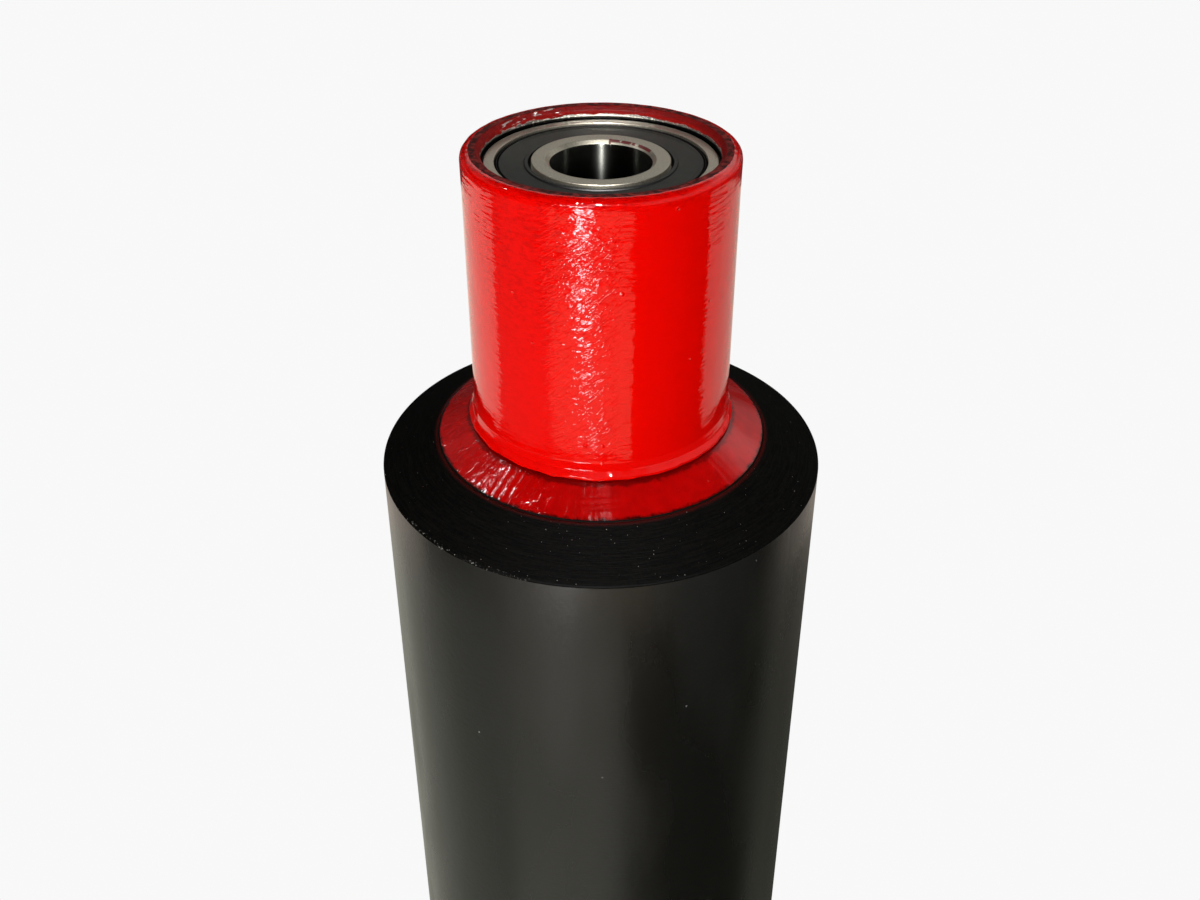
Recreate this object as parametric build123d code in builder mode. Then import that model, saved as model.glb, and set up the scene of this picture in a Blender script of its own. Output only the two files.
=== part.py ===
from build123d import *
import os

# Ink form roller: a rubber-covered steel tube that turns on a fixed shaft.
# Each end holds a sealed ball bearing in a red neck sleeve, and the shaft
# passes through both bearings and the hollow core. The roller stands on its
# lower rim, its axis is the Z axis and the floor is at z = 0.

# Covered body
face_length = 340.0
cover_diameter = 57.0
cover_edge_round = 0.35
core_diameter = 42.4
core_wall = 3.2
core_lead_in = 0.6
bond_line = 0.02

# End cones, from the foot of the neck out to the edge of the rubber
plug_cone_drop = 2.5
cover_cone_drop = 3.5

# Neck sleeve
neck_length = 35.7
neck_diameter = 32.4
rim_round = 0.4
mouth_chamfer = 0.5
flare_step = 0.9
flare_height = 2.4
lip_height = 1.1
lip_round = 0.4
spigot_diameter = 28.8
spigot_length = 12.0
spigot_chamfer = 0.6

# End plug
plug_flange = 3.5
plug_reach = 14.0
plug_chamfer = 0.8
weld_land = 0.1

# Bearing seat and shaft passage
seat_depth_to_bearing = 1.6
seat_relief_width = 0.8
seat_relief_depth = 0.25
passage_diameter = 24.2
fixed_fit = 0.01

# Bearing rings
bearing_bore = 12.0
bearing_diameter = 28.0
bearing_width = 8.0
outer_corner = 0.4
bore_corner = 0.4
inner_shoulder_diameter = 16.8
outer_shoulder_diameter = 23.2
seal_land_diameter = 16.3
seal_land_width = 1.1
seal_recess_diameter = 24.9
seal_groove_depth = 0.3
seal_groove_width = 0.55

# Balls and their tracks
ball_count = 8
ball_diameter = 4.762
pitch_diameter = 20.0
track_radius = 2.5
track_clearance = 0.05

# Ribbon cage
cage_sheet = 0.4
cage_clearance = 0.35
pocket_clearance = 0.06
rivet_diameter = 0.9
rivet_head_diameter = 1.5
rivet_head_height = 0.3
rivet_fit = 0.01

# Seals
seal_setback = 0.25
seal_thickness = 0.75
seal_bead_fit = 0.03
seal_lip_clearance = 0.06
seal_lip_width = 0.75
seal_lip_rise = 0.18
seal_rib_width = 0.45
seal_groove_inset = 0.25
seal_channel_width = 0.25
seal_channel_depth = 0.3

# Heights that follow from the sizes above
end_length = neck_length + plug_cone_drop + cover_cone_drop
overall_length = face_length + 2 * end_length
tube_end_depth = neck_length + plug_cone_drop + plug_flange
tube_length = overall_length - 2 * tube_end_depth
shoulder_depth = seat_depth_to_bearing + bearing_width
bearing_depth = seat_depth_to_bearing + bearing_width / 2

# Radii that follow from the sizes above
neck_radius = neck_diameter / 2
lip_radius = neck_radius + flare_step
core_radius = core_diameter / 2
core_bore_radius = core_radius - core_wall
pitch_radius = pitch_diameter / 2
inner_track_bottom = pitch_radius - ball_diameter / 2 - track_clearance
outer_track_bottom = pitch_radius + ball_diameter / 2 + track_clearance
half_width = bearing_width / 2


def lengthwise(z, outward):
    """Plane through the axis: x is the radius, y runs outward from height z."""
    return Plane(origin=(0, 0, z), x_dir=(1, 0, 0), z_dir=(0, -outward, 0))


def across(z, outward):
    """Plane square to the axis at height z, facing outward."""
    return Plane(origin=(0, 0, z), x_dir=(1, 0, 0), z_dir=(0, 0, outward))


def core_tube():
    # Drawn steel tube, bored true at each end to take the plugs
    with BuildPart() as tube:
        with BuildSketch(across(tube_end_depth, 1)):
            Circle(core_radius)
            Circle(core_bore_radius, mode=Mode.SUBTRACT)
        extrude(amount=tube_length)
        ends = tube.edges().filter_by(GeomType.CIRCLE).sort_by(SortBy.RADIUS)[:2]
        chamfer(ends, length=core_lead_in)
    return tube


def rubber_cover():
    # Soft rubber bonded to the core, with its ends ground to a cone
    middle = overall_length / 2
    inner = core_radius + bond_line
    outer = cover_diameter / 2
    half_face = face_length / 2
    with BuildPart() as cover:
        with BuildSketch(lengthwise(middle, 1)) as section:
            with BuildLine():
                Polyline(
                    (inner, -half_face - cover_cone_drop),
                    (outer, -half_face),
                    (outer, half_face),
                    (inner, half_face + cover_cone_drop),
                    close=True,
                )
            make_face()
            edges_of_face = section.vertices().group_by(Axis.X)[-1]
            fillet(edges_of_face, radius=cover_edge_round)
        revolve(axis=Axis.Z)
    return cover


def neck_sleeve(rim_z, outward):
    # Turned sleeve: bearing seat in its mouth, flared foot and pressed spigot
    seat = bearing_diameter / 2 + fixed_fit
    passage = passage_diameter / 2
    spigot = spigot_diameter / 2
    lip_top = -neck_length + lip_height
    flare_radius = (flare_step**2 + flare_height**2) / (2 * flare_step)
    with BuildPart() as sleeve:
        with BuildSketch(lengthwise(rim_z, outward)) as section:
            with BuildLine():
                Polyline(
                    (neck_radius, lip_top + flare_height),
                    (neck_radius, 0),
                    (seat, 0),
                    (seat, -shoulder_depth),
                    (passage, -shoulder_depth),
                    (passage, -neck_length - spigot_length),
                    (spigot, -neck_length - spigot_length),
                    (spigot, -neck_length),
                    (lip_radius, -neck_length),
                    (lip_radius, lip_top),
                )
                RadiusArc(
                    (lip_radius, lip_top),
                    (neck_radius, lip_top + flare_height),
                    flare_radius,
                )
            make_face()
            corners = section.vertices()
            rim = corners.group_by(Axis.Y)[-1].sort_by(Axis.X)
            tail = corners.group_by(Axis.Y)[0].sort_by(Axis.X)
            lip = corners.group_by(Axis.X)[-1]
            fillet(rim[-1], radius=rim_round)
            chamfer(rim[0], length=mouth_chamfer)
            chamfer(tail[-1], length=spigot_chamfer)
            fillet(lip, radius=lip_round)
            # Undercut that clears the corner of the bearing
            with Locations((seat, -shoulder_depth)):
                Rectangle(
                    seat_relief_depth,
                    seat_relief_width,
                    align=(Align.MIN, Align.MIN),
                    mode=Mode.SUBTRACT,
                )
        revolve(axis=Axis.Z)
    return sleeve


def end_plug(rim_z, outward):
    # Conical plug that caps the tube and carries the neck sleeve
    bore = spigot_diameter / 2 + fixed_fit
    reach = core_bore_radius - fixed_fit
    foot = -neck_length
    flange_top = foot - plug_cone_drop
    flange_back = -tube_end_depth
    with BuildPart() as plug:
        with BuildSketch(lengthwise(rim_z, outward)) as section:
            with BuildLine():
                Polyline(
                    (bore, foot),
                    (lip_radius + weld_land, foot),
                    (core_radius, flange_top),
                    (core_radius, flange_back),
                    (reach, flange_back),
                    (reach, flange_back - plug_reach),
                    (bore, flange_back - plug_reach),
                    close=True,
                )
            make_face()
            tail = section.vertices().group_by(Axis.Y)[0].sort_by(Axis.X)
            chamfer(tail[-1], length=plug_chamfer)
        revolve(axis=Axis.Z)
    return plug


def outer_ring(z, outward):
    # Bearing outer ring: track, shoulders, and a snap groove for each seal
    outer = bearing_diameter / 2
    shoulder = outer_shoulder_diameter / 2
    recess = seal_recess_diameter / 2
    groove = recess + seal_groove_depth
    groove_foot = half_width - seal_setback - seal_thickness - fixed_fit
    groove_top = groove_foot + seal_groove_width
    with BuildPart() as ring:
        with BuildSketch(lengthwise(z, outward)) as section:
            with BuildLine():
                Polyline(
                    (shoulder, 0),
                    (shoulder, groove_foot),
                    (groove, groove_foot),
                    (groove, groove_top),
                    (recess, groove_top),
                    (recess, half_width),
                    (outer, half_width),
                    (outer, 0),
                    close=True,
                )
            make_face()
            mirror(about=Plane.XZ)
            with Locations((outer_track_bottom - track_radius, 0)):
                Circle(track_radius, mode=Mode.SUBTRACT)
            corners = section.vertices().group_by(Axis.X)[-1]
            chamfer(corners, length=outer_corner)
        revolve(axis=Axis.Z)
    return ring


def inner_ring(z, outward):
    # Bearing inner ring: track, shoulders, and a low land under each seal lip
    bore = bearing_bore / 2
    shoulder = inner_shoulder_diameter / 2
    land = seal_land_diameter / 2
    with BuildPart() as ring:
        with BuildSketch(lengthwise(z, outward)) as section:
            with BuildLine():
                Polyline(
                    (bore, 0),
                    (bore, half_width),
                    (land, half_width),
                    (land, half_width - seal_land_width),
                    (shoulder, half_width - seal_land_width),
                    (shoulder, 0),
                    close=True,
                )
            make_face()
            mirror(about=Plane.XZ)
            with Locations((inner_track_bottom + track_radius, 0)):
                Circle(track_radius, mode=Mode.SUBTRACT)
            corners = section.vertices().group_by(Axis.X)[0]
            chamfer(corners, length=bore_corner)
        revolve(axis=Axis.Z)
    return ring


def seal(z, outward):
    # Moulded rubber seal: snap bead, channel and rib outside, lip inside
    back = half_width - seal_setback - seal_thickness
    front = half_width - seal_setback
    recess = seal_recess_diameter / 2 - seal_bead_fit
    bead = recess + seal_groove_depth
    bead_top = back + seal_groove_width - seal_bead_fit
    channel_outer = recess - seal_groove_inset
    channel_inner = channel_outer - seal_channel_width
    rib_inner = channel_inner - seal_rib_width
    web = front - seal_channel_depth / 2
    lip_outer = seal_land_diameter / 2 + seal_lip_clearance + seal_lip_width
    lip_inner = seal_land_diameter / 2 + seal_lip_clearance
    with BuildPart() as ring:
        with BuildSketch(lengthwise(z, outward)):
            with BuildLine():
                Polyline(
                    (bead, back),
                    (bead, bead_top),
                    (recess, bead_top),
                    (recess, front),
                    (channel_outer, front),
                    (channel_outer, front - seal_channel_depth),
                    (channel_inner, front - seal_channel_depth),
                    (channel_inner, front),
                    (rib_inner, front),
                    (rib_inner, web),
                    (lip_outer, web),
                    (lip_outer, web + seal_lip_rise),
                    (lip_inner, web + seal_lip_rise),
                    (lip_inner, back),
                    close=True,
                )
            make_face()
        revolve(axis=Axis.Z)
    return ring


def cage_half(z, outward):
    # One pressed half of the ribbon cage: flat lands between domed pockets
    pocket = ball_diameter / 2 + pocket_clearance
    dome = pocket + cage_sheet
    strip_outer = outer_shoulder_diameter / 2 - cage_clearance
    strip_inner = inner_shoulder_diameter / 2 + cage_clearance
    # It is pressed about the origin first, so its pockets cut alike at any height
    with BuildPart() as pressed:
        with BuildSketch(Plane.XY):
            Circle(strip_outer)
            Circle(strip_inner, mode=Mode.SUBTRACT)
        extrude(amount=cage_sheet)
        with PolarLocations(pitch_radius, ball_count):
            Sphere(dome)
        # Trim the domes to the width of the strip, on this half's own side
        with BuildSketch(Plane.XY):
            Circle(strip_outer)
            Circle(strip_inner, mode=Mode.SUBTRACT)
        extrude(amount=2 * dome, mode=Mode.INTERSECT)
        with PolarLocations(pitch_radius, ball_count):
            Sphere(pocket, mode=Mode.SUBTRACT)
        with PolarLocations(pitch_radius, ball_count, start_angle=180 / ball_count):
            Hole(rivet_diameter / 2 + rivet_fit)
    with BuildPart(across(z, outward)) as half:
        add(pressed.part)
    return half


def cage_rivets(z, outward):
    # Rivets that close the two cage halves, one through each pair of lands
    with BuildPart(across(z, outward)) as rivets:
        with PolarLocations(pitch_radius, ball_count, start_angle=180 / ball_count):
            Cylinder(rivet_diameter / 2, 2 * cage_sheet)
            with Locations((0, 0, cage_sheet)):
                Cone(
                    rivet_head_diameter / 2,
                    rivet_diameter / 2,
                    rivet_head_height,
                    align=(Align.CENTER, Align.CENTER, Align.MIN),
                )
            with Locations((0, 0, -cage_sheet)):
                Cone(
                    rivet_diameter / 2,
                    rivet_head_diameter / 2,
                    rivet_head_height,
                    align=(Align.CENTER, Align.CENTER, Align.MAX),
                )
    return rivets


def ball(z, number):
    # One steel ball, counted round the bearing from the X axis
    with BuildPart(across(z, 1)) as sphere:
        turn = 360 / ball_count * (number - 1)
        with PolarLocations(pitch_radius, 1, start_angle=turn):
            Sphere(ball_diameter / 2)
    return sphere


def write(piece, label):
    piece.part.label = label
    export_step(piece.part, f"parts/{label}.step")
    print(label, round(piece.part.volume, 2), "mm3")


os.makedirs("parts", exist_ok=True)
write(core_tube(), "core_tube")
write(rubber_cover(), "rubber_cover")
for end, rim_z, outward in (("upper", overall_length, 1), ("lower", 0.0, -1)):
    bearing_z = rim_z - outward * bearing_depth
    write(neck_sleeve(rim_z, outward), f"{end}_neck_sleeve")
    write(end_plug(rim_z, outward), f"{end}_end_plug")
    write(outer_ring(bearing_z, outward), f"{end}_outer_ring")
    write(inner_ring(bearing_z, outward), f"{end}_inner_ring")
    write(seal(bearing_z, outward), f"{end}_front_seal")
    write(seal(bearing_z, -outward), f"{end}_back_seal")
    write(cage_half(bearing_z, outward), f"{end}_front_cage_half")
    write(cage_half(bearing_z, -outward), f"{end}_back_cage_half")
    write(cage_rivets(bearing_z, outward), f"{end}_cage_rivets")
    for number in range(1, ball_count + 1):
        write(ball(bearing_z, number), f"{end}_ball_{number}")
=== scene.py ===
# %% [markdown]
# Ink form roller. This lesson dresses a finished machine part for its portrait.
# The solids arrive at their real size and stay where they are. Every cell below
# adds one finish or one turned piece, and prints what it made, so that a reader
# who is new to Blender can run the cells one by one and see what changed.

# %% Load the frame
import math

import bpy
import numpy as np
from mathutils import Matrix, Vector


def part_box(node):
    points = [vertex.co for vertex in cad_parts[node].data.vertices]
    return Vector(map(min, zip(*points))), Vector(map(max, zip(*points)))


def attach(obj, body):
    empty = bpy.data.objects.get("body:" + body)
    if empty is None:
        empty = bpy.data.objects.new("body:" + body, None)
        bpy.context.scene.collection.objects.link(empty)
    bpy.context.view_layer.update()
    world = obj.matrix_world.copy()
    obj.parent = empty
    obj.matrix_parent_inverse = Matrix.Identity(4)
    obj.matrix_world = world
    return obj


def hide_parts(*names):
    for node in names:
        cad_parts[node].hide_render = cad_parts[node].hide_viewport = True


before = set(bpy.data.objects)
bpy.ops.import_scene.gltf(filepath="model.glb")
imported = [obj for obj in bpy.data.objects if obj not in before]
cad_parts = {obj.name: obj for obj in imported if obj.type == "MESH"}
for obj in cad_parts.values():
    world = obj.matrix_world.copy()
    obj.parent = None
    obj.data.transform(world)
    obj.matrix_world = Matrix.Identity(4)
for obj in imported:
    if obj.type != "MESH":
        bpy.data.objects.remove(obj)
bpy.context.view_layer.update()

print("solids loaded:", len(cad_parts))

# %% [markdown]
# Almost every piece here was turned on a lathe, so two numbers say where a point
# is: its distance from the axis and its depth under the rim of its own end. All
# depths below are in millimetres under that rim, for both ends alike. The heights
# come from the frame, so they stay right if the roller is made longer.

# %% Heights and radii from the frame
MM = 0.001
roller_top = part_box("upper_neck_sleeve")[1].z
roller_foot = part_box("lower_neck_sleeve")[0].z


def radius_of(node):
    """Outer radius of a round node, in millimetres."""
    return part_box(node)[1].x / MM


def depth_of(node, corner):
    """Depth of an upper node's lowest (0) or highest (1) point under the rim."""
    return (roller_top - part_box(node)[corner].z) / MM


lip_radius = radius_of("upper_neck_sleeve")
core_radius = radius_of("upper_end_plug")
cover_radius = radius_of("rubber_cover")
ring_depth = depth_of("upper_outer_ring", 1)
shoulder_depth = depth_of("upper_outer_ring", 0)
foot_depth = depth_of("upper_end_plug", 1)
cone_depth = depth_of("rubber_cover", 1)
print("neck foot", round(lip_radius, 2), "mm, bearing", round(ring_depth, 2), "mm deep")

# %% [markdown]
# The camera stands where the photographer seems to have stood: 13 cm from the axis
# and 5 cm above the rim, looking down. So near, perspective is strong, and the far
# end of the roller shrinks away under the picture. The photograph seems trimmed at
# the top: the lens axis lies above the frame's middle, and a small shift says so.

# %% Camera
camera_back = 134.2
camera_side = -0.12
camera_rise = 49.6
camera_pitch = 29.8
lens_length = 36.62
lens_axis_row = 350
frame_width, frame_height = 1200, 900

camera_data = bpy.data.cameras.new("photo_camera")
camera_data.lens = lens_length
camera_data.sensor_width = 36.0
camera_data.shift_y = (lens_axis_row - frame_height / 2) / frame_width
camera_data.clip_start = 0.005
camera_data.clip_end = 20.0
camera = bpy.data.objects.new("photo_camera", camera_data)
camera.location = (camera_side * MM, -camera_back * MM, roller_top + camera_rise * MM)
camera.rotation_euler = (math.radians(90 - camera_pitch), 0, 0)
bpy.context.scene.collection.objects.link(camera)
bpy.context.scene.camera = camera
bpy.context.scene.view_settings.view_transform = "Standard"
print("camera", round(camera.location.z, 4), "m above the floor")

# %% [markdown]
# Small helpers keep the node trees readable. One adds a node and fills its sockets
# with values or with links, and the others name the steps that come back often.

# %% Node helpers
def fill_sockets(tree, made, sockets):
    """Gives each named input socket of a node its value, or a link from a socket."""
    for name, value in (sockets or {}).items():
        if isinstance(value, bpy.types.NodeSocket):
            tree.links.new(value, made.inputs[name])
        else:
            made.inputs[name].default_value = value


def add_node(tree, kind, sockets=None, **settings):
    """A new node, with its settings and its input sockets filled in."""
    made = tree.nodes.new(kind)
    for name, value in settings.items():
        setattr(made, name, value)
    fill_sockets(tree, made, sockets)
    return made


def maths(tree, operation, first, second=0.0, third=0.0, clamp=False):
    """One step of arithmetic on up to three numbers or sockets."""
    sockets = {0: first, 1: second, 2: third}
    made = add_node(tree, "ShaderNodeMath", sockets, operation=operation)
    made.use_clamp = clamp
    return made.outputs[0]


def times(tree, first, second):
    """One number or socket times another."""
    return maths(tree, "MULTIPLY", first, second)


def larger(tree, first, second):
    """The larger of two numbers or sockets."""
    return maths(tree, "MAXIMUM", first, second)


def vectors(tree, operation, first, second=None, scale=None, output="Vector"):
    """One step of arithmetic on vectors. Its output is a "Vector" or a "Value"."""
    given = {0: first, 1: second, "Scale": scale}
    sockets = {name: value for name, value in given.items() if value is not None}
    made = add_node(tree, "ShaderNodeVectorMath", sockets, operation=operation)
    return made.outputs[output]


def ramp_between(tree, value, low, high, start=0.0, end=1.0):
    """A value carried smoothly from start to end while it goes from low to high."""
    sockets = {"Value": value, "From Min": low, "From Max": high}
    sockets.update({"To Min": start, "To Max": end})
    made = add_node(tree, "ShaderNodeMapRange", sockets, interpolation_type="SMOOTHSTEP")
    return made.outputs["Result"]


def mix_colours(tree, share, first, second, blend="MIX"):
    """Two colours mixed by a share, which is 0 for the first and 1 for the second."""
    sockets = {"Factor": share, 6: first, 7: second}
    made = add_node(tree, "ShaderNodeMix", sockets, data_type="RGBA", blend_type=blend)
    return made.outputs[2]


def noise_at(tree, place, scale, detail=2.0, roughness=0.5):
    """Smooth noise, from about 0.3 to 0.7, read at a place."""
    sockets = {"Vector": place, "Scale": scale, "Detail": detail, "Roughness": roughness}
    return add_node(tree, "ShaderNodeTexNoise", sockets).outputs["Fac"]


def new_group(name, inputs, outputs):
    """An empty node group with named sockets: its tree, its inputs, its output node."""
    tree = bpy.data.node_groups.new(name, "ShaderNodeTree")
    for label, kind, value in inputs:
        socket = tree.interface.new_socket(label, in_out="INPUT", socket_type=kind)
        if value is not None:
            socket.default_value = value
    for label, kind in outputs:
        tree.interface.new_socket(label, in_out="OUTPUT", socket_type=kind)
    entry = tree.nodes.new("NodeGroupInput").outputs
    result = tree.nodes.new("NodeGroupOutput")
    return tree, entry, result


def use_group(tree, name, sockets=None):
    """One copy of a node group, placed in a material with its own values."""
    made = tree.nodes.new("ShaderNodeGroup")
    made.node_tree = bpy.data.node_groups[name]
    fill_sockets(tree, made, sockets)
    return made.outputs


FLOAT = "NodeSocketFloat"
VECTOR = "NodeSocketVector"

# %% [markdown]
# The studio is a pale floor, a few soft lamps and a grey room that grows dark
# overhead. The floor glows an even white to the camera and in reflections, so no
# shadow shows on it. Matt surfaces see plain paper there, which the roller shades.

# %% Floor
def pale_floor():
    mesh = bpy.data.meshes.new("floor")
    reach = 6.0
    corners = [(-reach, -reach, 0), (reach, -reach, 0), (reach, reach, 0), (-reach, reach, 0)]
    mesh.from_pydata(corners, [], [(0, 1, 2, 3)])
    floor = bpy.data.objects.new("floor", mesh)
    floor.location.z = roller_foot
    bpy.context.scene.collection.objects.link(floor)
    material = bpy.data.materials.new("pale_floor")
    material.use_nodes = True
    tree = material.node_tree
    tree.nodes.clear()
    path = add_node(tree, "ShaderNodeLightPath").outputs
    seen = maths(tree, "ADD", path["Is Camera Ray"], path["Is Glossy Ray"], clamp=True)
    seen = maths(tree, "ADD", seen, path["Is Transmission Ray"], clamp=True)
    paper = add_node(tree, "ShaderNodeBsdfDiffuse", {"Color": (0.9, 0.9, 0.9, 1)}).outputs[0]
    glow = add_node(
        tree, "ShaderNodeEmission", {"Color": (0.94, 0.94, 0.94, 1), "Strength": 1.0}
    ).outputs[0]
    shown = add_node(tree, "ShaderNodeMixShader", {0: seen, 1: paper, 2: glow}).outputs[0]
    add_node(tree, "ShaderNodeOutputMaterial", {"Surface": shown})
    mesh.materials.append(material)
    return floor


floor = pale_floor()
print("floor at", round(floor.location.z, 4), "m")

# %% [markdown]
# The room could be one even grey. Gloss would then show no edges, so the light that
# gloss sees has bands: a dark low part, a bright wall and a dark ceiling, brighter
# behind the roller than in front. A soft low patch stands on the right, and a faint
# one behind on the left. Matt surfaces see a plain, soft falling-off.

# %% Room
def room_light(level, overhead):
    """World light: even near the horizon for matt surfaces, banded in gloss."""
    world = bpy.data.worlds.new("studio")
    bpy.context.scene.world = world
    world.use_nodes = True
    tree = world.node_tree
    tree.nodes.clear()
    direction = add_node(tree, "ShaderNodeTexCoord").outputs["Generated"]
    parts = add_node(tree, "ShaderNodeSeparateXYZ", {0: direction}).outputs
    height = parts["Z"]
    matt = ramp_between(tree, height, 0.08, 0.58, level, overhead)
    behind = ramp_between(tree, parts["Y"], -0.1, 0.4, 0.22, 0.80)
    aside = ramp_between(tree, parts["X"], -0.6, 0.0, 0.2, 1.0)
    wall = ramp_between(tree, height, 0.28, 0.40, 0.03, 1.0)
    ceiling = ramp_between(tree, height, 0.50, 0.72, 1.0, 0.04)
    gloss = times(tree, times(tree, wall, ceiling), behind)
    gloss = times(tree, gloss, aside)
    low_patch = times(tree, ramp_between(tree, height, -0.02, 0.06),
                      ramp_between(tree, height, 0.40, 0.60, 0.42, 0.0))
    back_left = times(tree, ramp_between(tree, parts["X"], -0.35, -0.60, 0.0, 0.15),
                      ramp_between(tree, parts["Y"], 0.55, 0.75))
    sides = maths(tree, "ADD", ramp_between(tree, parts["X"], 0.35, 0.60), back_left)
    low_patch = times(tree, low_patch, sides)
    gloss = larger(tree, gloss, low_patch)
    path = add_node(tree, "ShaderNodeLightPath").outputs
    strength = mix_colours(tree, path["Is Glossy Ray"], matt, gloss)
    light = add_node(
        tree, "ShaderNodeBackground", {"Color": (1.0, 0.99, 0.96, 1), "Strength": strength}
    ).outputs[0]
    add_node(tree, "ShaderNodeOutputWorld", {"Surface": light})


room_light(level=0.45, overhead=0.04)
print("room light set")

# %% [markdown]
# Two large soft lamps light the matt colours. The other five are small or narrow and
# show in gloss only: the streak on the neck, the line on its lip, and the glints in
# the bore and on the paint. Kept apart, each can be as bright as its reflection needs.

# %% Soft lamps
neck_middle = (0, 0, roller_top - 20 * MM)


def around_axis(compass, distance, height):
    """A place by its compass angle from the camera side, distance and height."""
    turn = math.radians(compass)
    return (distance * math.sin(turn), -distance * math.cos(turn), height)


def soft_lamp(name, place, size, power, matt):
    """A rectangular lamp turned to the neck, that lights matt or else glossy surfaces."""
    data = bpy.data.lights.new(name, "AREA")
    data.shape = "RECTANGLE"
    data.size, data.size_y = size
    data.energy = power
    lamp = bpy.data.objects.new(name, data)
    lamp.location = place
    aim = Vector(neck_middle) - Vector(place)
    lamp.rotation_euler = aim.to_track_quat("-Z", "Y").to_euler()
    lamp.visible_camera = False
    lamp.visible_diffuse, lamp.visible_glossy = matt, not matt
    bpy.context.scene.collection.objects.link(lamp)


# Name, compass angle, distance, height over the rim, size, power in watts, matt or gloss.
for name, compass, distance, rise, size, power, matt in (
    ("key_softbox", -16, 1.10, 0.34, (0.50, 0.22), 14.0, True),
    ("side_softbox", 125, 1.00, 0.45, (0.40, 0.40), 6.5, True),
    ("strip_lamp", -15, 0.50, -0.222, (0.10, 0.042), 0.42, False),
    ("lip_lamp", -18, 1.10, 0.10, (0.40, 0.05), 4.0, False),
    ("ceiling_spot", -1, 0.45, 0.33, (0.006, 0.04), 20.0, False),
    ("glint_spot", -105, 0.42, 0.42, (0.03, 0.03), 0.16, False),
    ("front_spot", 0, 0.10, 0.46, (0.012, 0.012), 0.01, False),
):
    place = around_axis(compass, distance, roller_top + rise)
    soft_lamp(name, place, size, power, matt)
print("lamps:", len(bpy.data.lights))

# %% [markdown]
# A photographer darkens parts of a reflection with black cards. The cards here lie
# on the floor, glow pale or dark and show only in gloss: they cut the pale sweep's
# reflection into the clear vertical bands that the photograph has. The neck mirrors
# the far floor and the rubber mirrors the floor close by, so each has its own ring
# of cards. Without them the same finishes look plainer.

# %% Reflection cards
def reflection_card(name, near, far, start, end, grey, warmth=1.0, greenness=1.0):
    """A flat sector on the floor, between two compass angles from the camera side."""
    steps = 48
    turns = [start + (end - start) * step / steps for step in range(steps + 1)]
    points = [around_axis(t, near, 0) for t in turns] + [around_axis(t, far, 0) for t in turns]
    faces = [(i, i + 1, i + steps + 2, i + steps + 1) for i in range(steps)]
    mesh = bpy.data.meshes.new(name)
    mesh.from_pydata(points, [], faces)
    card = bpy.data.objects.new(name, mesh)
    card.location.z = roller_foot + 2 * MM
    bpy.context.scene.collection.objects.link(card)
    material = bpy.data.materials.new(name)
    material.use_nodes = True
    tree = material.node_tree
    tree.nodes.clear()
    colour = (grey, grey * greenness, grey * warmth, 1)
    glow = add_node(tree, "ShaderNodeEmission", {"Color": colour}).outputs[0]
    add_node(tree, "ShaderNodeOutputMaterial", {"Surface": glow})
    mesh.materials.append(material)
    for ray in ("camera", "diffuse", "transmission", "volume_scatter", "shadow"):
        setattr(card, "visible_" + ray, False)
    return card


cards_start, cards_meet, cards_end = 0.04, 0.50, 1.03
far_cards = [(-170, -99, 0.95, 0.75), (-99, -43, 0.15, 0.8), (-43, 27, 0.78, 0.55),
             (27, 99, 0.0, 1.0), (99, 170, 0.62, 0.75)]
near_cards = [(-180, -128, 0.65, 0.85), (-128, -90, 0.46, 0.85), (-90, -50, 0.34, 0.85),
              (-50, 12, 0.60, 0.85), (12, 99, 0.02, 0.8), (99, 118, 0.15, 0.8),
              (118, 150, 0.08, 0.8), (150, 180, 0.03, 0.8)]
for number, (start, end, grey, warmth) in enumerate(far_cards):
    reflection_card(
        f"far_card_{number}", cards_meet, cards_end, start, end, grey, warmth, (1 + warmth) / 2
    )
for number, (start, end, grey, warmth) in enumerate(near_cards):
    reflection_card(
        f"near_card_{number}", cards_start, cards_meet, start, end, grey, warmth
    )
reflection_card("far_dark_ring", cards_end, 6.0, -180, 180, 0.03)
print("cards laid:", len(far_cards) + len(near_cards) + 1)

# %% [markdown]
# The materials read their pattern from the piece's own coordinates, which are in
# metres in the roller's frame. A lathe leaves marks round the axis, so the first
# node group turns a position into a direction round the axis, a radius and a
# height, with no seam anywhere.

# %% Coordinates round the axis
def build_turned_coordinates():
    outputs = [("Around", VECTOR), ("Radius", FLOAT), ("Height", FLOAT), ("Place", VECTOR)]
    tree, _, result = new_group("turned_coordinates", [], outputs)
    metres = add_node(tree, "ShaderNodeTexCoord").outputs["Object"]
    place = vectors(tree, "SCALE", metres, scale=1 / MM)
    parts = add_node(tree, "ShaderNodeSeparateXYZ", {0: place}).outputs
    flat = add_node(tree, "ShaderNodeCombineXYZ", {"X": parts["X"], "Y": parts["Y"]}).outputs[0]
    radius = vectors(tree, "LENGTH", flat, output="Value")
    around = vectors(tree, "NORMALIZE", flat)
    tree.links.new(around, result.inputs["Around"])
    tree.links.new(radius, result.inputs["Radius"])
    tree.links.new(parts["Z"], result.inputs["Height"])
    tree.links.new(place, result.inputs["Place"])


build_turned_coordinates()
print("group: turned_coordinates")

# %% [markdown]
# Enamel that was brushed on dries with fine ridges where the brush dragged, and
# lies smooth where it flowed. The ridges are long along the stroke and narrow
# across it. The group reads noise in coordinates that are squeezed along the
# stroke, and fades the ridges in and out in soft patches.

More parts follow.
